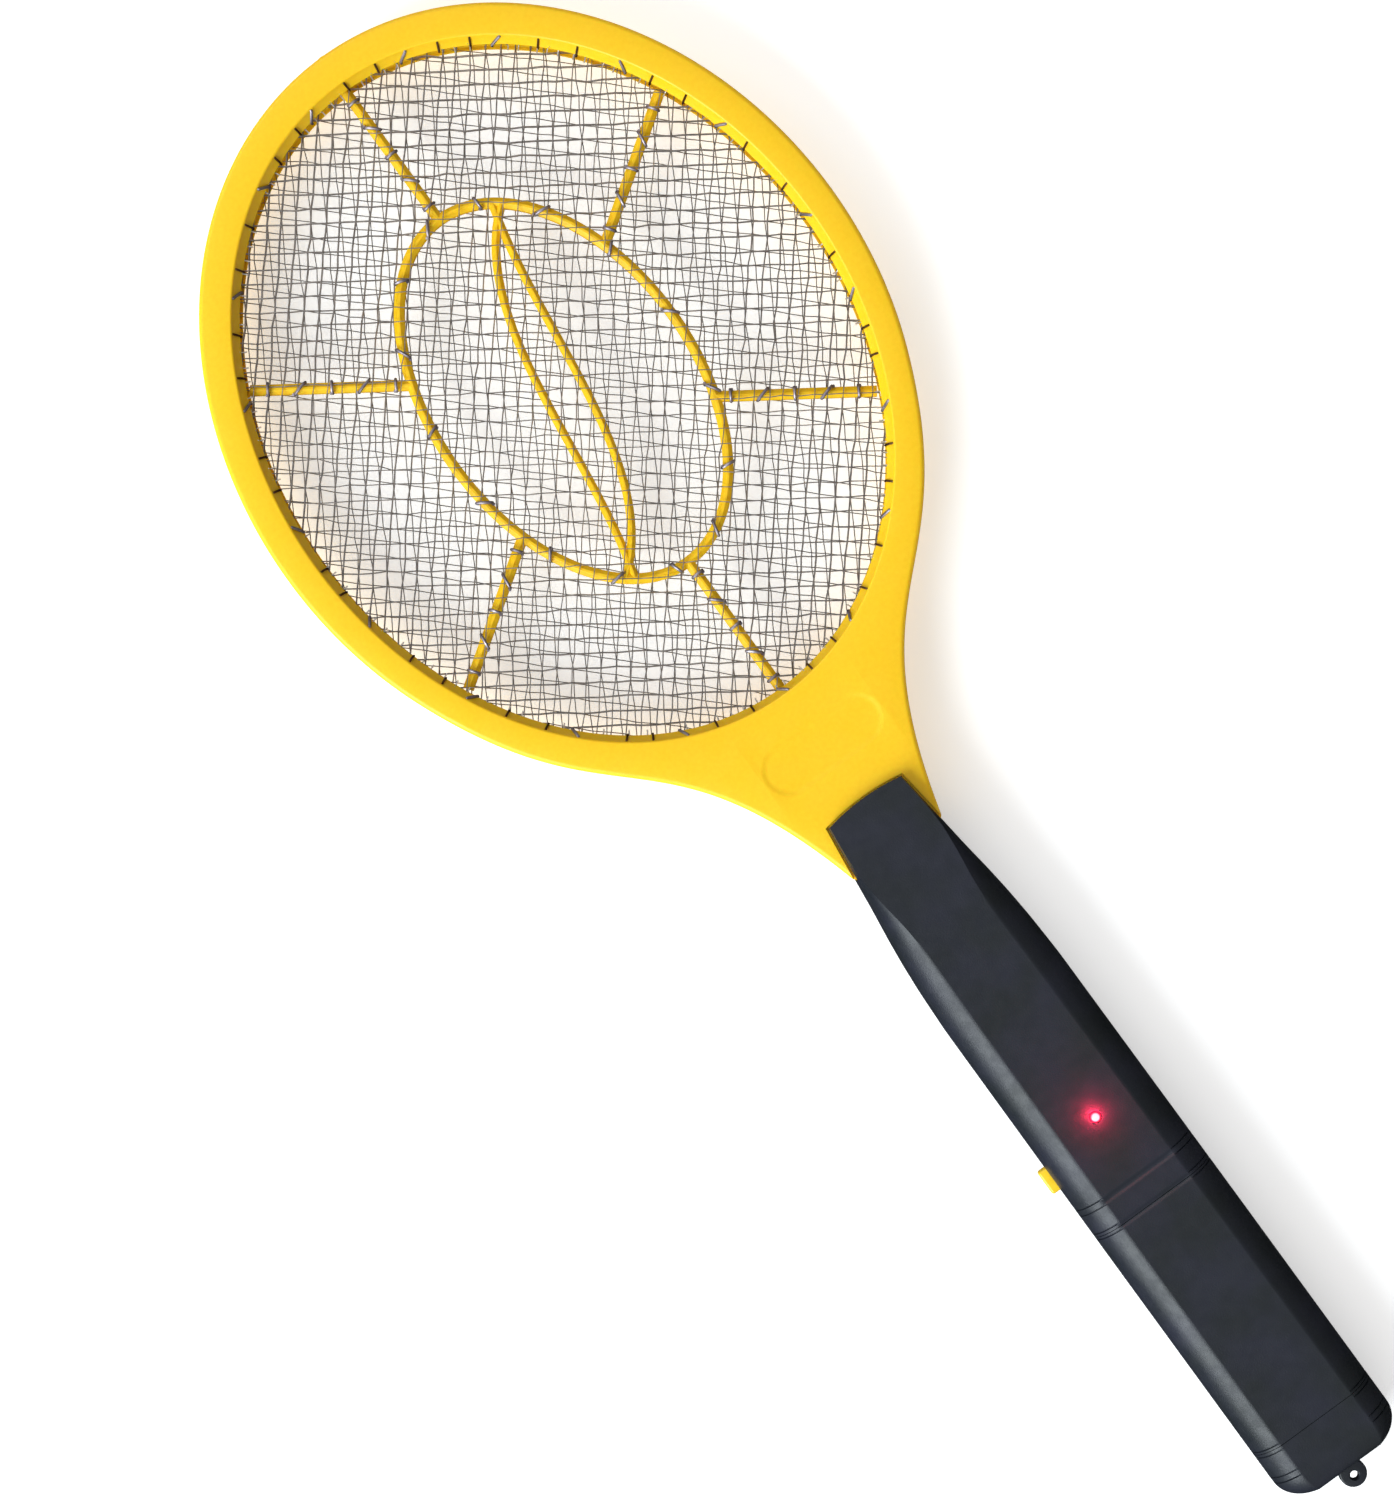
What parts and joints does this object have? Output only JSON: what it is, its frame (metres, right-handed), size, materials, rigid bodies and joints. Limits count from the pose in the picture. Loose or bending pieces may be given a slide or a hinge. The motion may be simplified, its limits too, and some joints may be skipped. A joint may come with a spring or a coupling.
{
  "type": "electric fly swatter",
  "caption": "Racket-shaped electric insect swatter: oval yellow frame with stacked wire nets and a black battery handle with a side push button and a lamp.",
  "frame": {"origin": "centre of the bounding box in plan, on the surface that the handle's back flat rests on", "axes": "+X across the racket, away from the push button; +Y along it towards the head; +Z towards the face with the lamp and the battery cover"},
  "size_m": [0.175, 0.4602, 0.027],
  "materials": {
    "yellow_plastic": "satin, fine speckle",
    "button_yellow": "smooth",
    "black_plastic": "satin with fine grain",
    "net_wire": "dull drawn wire",
    "screw_steel": "zinc plated",
    "spring_steel": "nickel plated",
    "board_green": "solder mask",
    "ferrite": "matt",
    "copper_winding": "enamelled copper",
    "red_film": "dipped epoxy",
    "ceramic_blue": "dipped ceramic",
    "resistor_tan": "lacquered",
    "component_black": "moulded",
    "red_insulation": "PVC",
    "black_insulation": "PVC",
    "cell_wrap": "printed sleeve, plain",
    "red_lens": "clear red epoxy"
  },
  "bodies": {
    "racket": {"battery_lead_black": "black_insulation", "battery_lead_red": "red_insulation", "button_spring": "spring_steel", "cell_left": "cell_wrap", "cell_right": "cell_wrap", "circuit_board": "board_green", "contact_bridge": "spring_steel", "contact_plate_left": "spring_steel", "contact_plate_right": "spring_steel", "contact_spring_left": "spring_steel", "contact_spring_right": "spring_steel", "diode_1": "component_black", "diode_2": "component_black", "diode_3": "component_black", "disc_capacitor_1": "ceramic_blue", "disc_capacitor_2": "ceramic_blue", "ground_lead_back": "black_insulation", "ground_lead_front": "black_insulation", "handle_screw_1": "screw_steel", "handle_screw_2": "screw_steel", "handle_screw_3": "screw_steel", "handle_shell_back": "black_plastic", "handle_shell_front": "black_plastic", "head_frame_back": "yellow_plastic", "head_frame_front": "yellow_plastic", "head_screw_1": "screw_steel", "head_screw_2": "screw_steel", "head_screw_3": "screw_steel", "head_screw_4": "screw_steel", "head_screw_5": "screw_steel", "hv_capacitor": "red_film", "hv_lead": "red_insulation", "led_lamp": "red_lens", "neck_screw_1": "screw_steel", "neck_screw_2": "screw_steel", "net_back": "net_wire", "net_front": "net_wire", "net_middle": "net_wire", "resistor_1": "resistor_tan", "resistor_2": "resistor_tan", "spacer_grid_back": "yellow_plastic", "spacer_grid_front": "yellow_plastic", "switch_body": "component_black", "transformer_core": "ferrite", "transformer_winding": "copper_winding", "transistor": "component_black"},
    "button": {"push_button": "button_yellow", "switch_plunger": "component_black"},
    "cover": {"battery_cover": "black_plastic"}
  },
  "joints": [
    {"name": "button_press", "type": "slide", "parent": "racket", "child": "button", "axis": [1, 0, 0], "range_m": [0, 0.0015], "stiffness_N_per_m": 500, "springref_m": -0.001, "deforming": ["button_spring"]},
    {"name": "cover_lift", "type": "slide", "parent": "racket", "child": "cover", "axis": [0, 0, 1], "range_m": [0, 0.03]}
  ]
}
